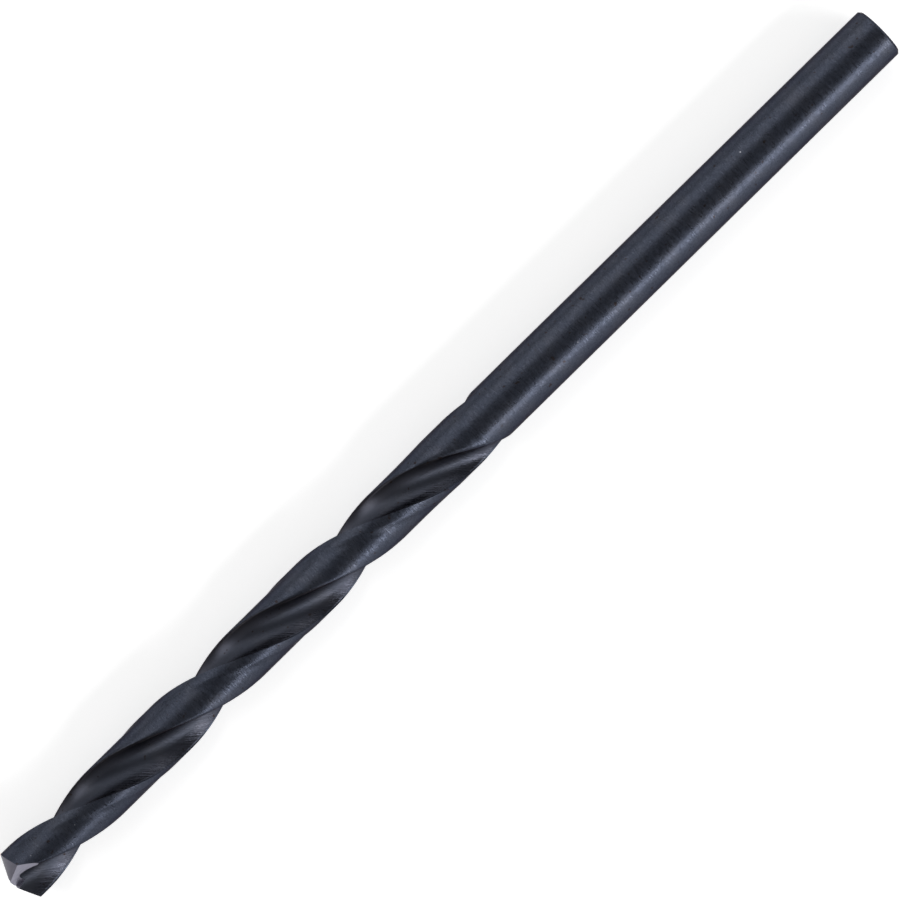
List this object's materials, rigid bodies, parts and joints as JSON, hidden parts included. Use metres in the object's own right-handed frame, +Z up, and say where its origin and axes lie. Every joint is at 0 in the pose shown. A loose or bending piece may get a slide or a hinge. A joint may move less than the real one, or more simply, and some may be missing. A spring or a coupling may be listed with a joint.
{
  "type": "twist drill bit",
  "caption": "Slim jobber twist drill for metal, with spiral flutes, a split point and a plain round shank.",
  "frame": {"origin": "under the middle of the drill's length, on the surface it lies on", "axes": "+X along the drill towards the shank's end, -X towards the point, +Z up from the surface it lies on"},
  "size_m": [0.062, 0.003, 0.003],
  "materials": {
    "drill_bit": "black oxide over fine grinding marks, with a bare ground point"
  },
  "bodies": {
    "root": {"drill_bit": "drill_bit"}
  },
  "joints": []
}
